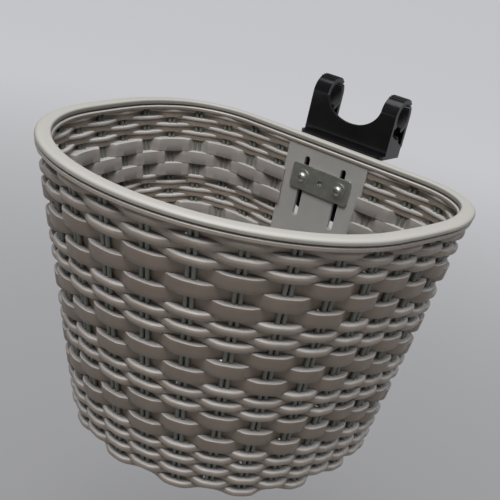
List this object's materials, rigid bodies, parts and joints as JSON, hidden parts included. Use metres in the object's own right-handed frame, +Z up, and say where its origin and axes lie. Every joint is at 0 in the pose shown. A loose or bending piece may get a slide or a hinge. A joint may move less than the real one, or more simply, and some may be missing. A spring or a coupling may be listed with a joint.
{
  "type": "handlebar basket",
  "caption": "Tapered D-shaped bicycle basket in imitation wicker plastic, with a clip-on rim and a black bracket that hooks over the handlebar.",
  "frame": {"origin": "on the handlebar's axis, midway between the two clamps", "axes": "+X along the handlebar to the basket's right seen from the rider, +Y towards the rider, +Z up"},
  "size_m": [0.3374, 0.359, 0.3044],
  "materials": {
    "wicker_plastic": "satin taupe grey moulded weave",
    "rim_plastic": "satin light warm grey",
    "zinc_steel": "dull zinc plate",
    "black_plastic": "glossy black",
    "clamp_rubber": "matt black"
  },
  "bodies": {
    "bracket": {"clamp_plate": "zinc_steel", "bracket": "black_plastic", "panel_screw_left": "zinc_steel", "front_washer_left": "zinc_steel", "back_washer_left": "zinc_steel", "panel_nut_left": "zinc_steel", "hook_shim_left": "clamp_rubber", "clamp_nut_left": "zinc_steel", "panel_screw_right": "zinc_steel", "front_washer_right": "zinc_steel", "back_washer_right": "zinc_steel", "panel_nut_right": "zinc_steel", "hook_shim_right": "clamp_rubber", "clamp_nut_right": "zinc_steel"},
    "basket": {"basket_shell": "wicker_plastic", "rim": "rim_plastic"},
    "keeper_left": {"keeper_left": "black_plastic", "keeper_shim_left": "clamp_rubber", "keeper_washer_left": "zinc_steel", "keeper_bolt_left": "zinc_steel"},
    "keeper_right": {"keeper_right": "black_plastic", "keeper_shim_right": "clamp_rubber", "keeper_washer_right": "zinc_steel", "keeper_bolt_right": "zinc_steel"}
  },
  "joints": [
    {"name": "height_adjust", "type": "slide", "parent": "bracket", "child": "basket", "axis": [0, 0, 1], "range_m": [-0.0165, 0.0365]},
    {"name": "keeper_left_open", "type": "slide", "parent": "bracket", "child": "keeper_left", "axis": [0, 1, 0], "range_m": [0, 0.005]},
    {"name": "keeper_right_open", "type": "slide", "parent": "bracket", "child": "keeper_right", "axis": [0, 1, 0], "range_m": [0, 0.005]}
  ]
}
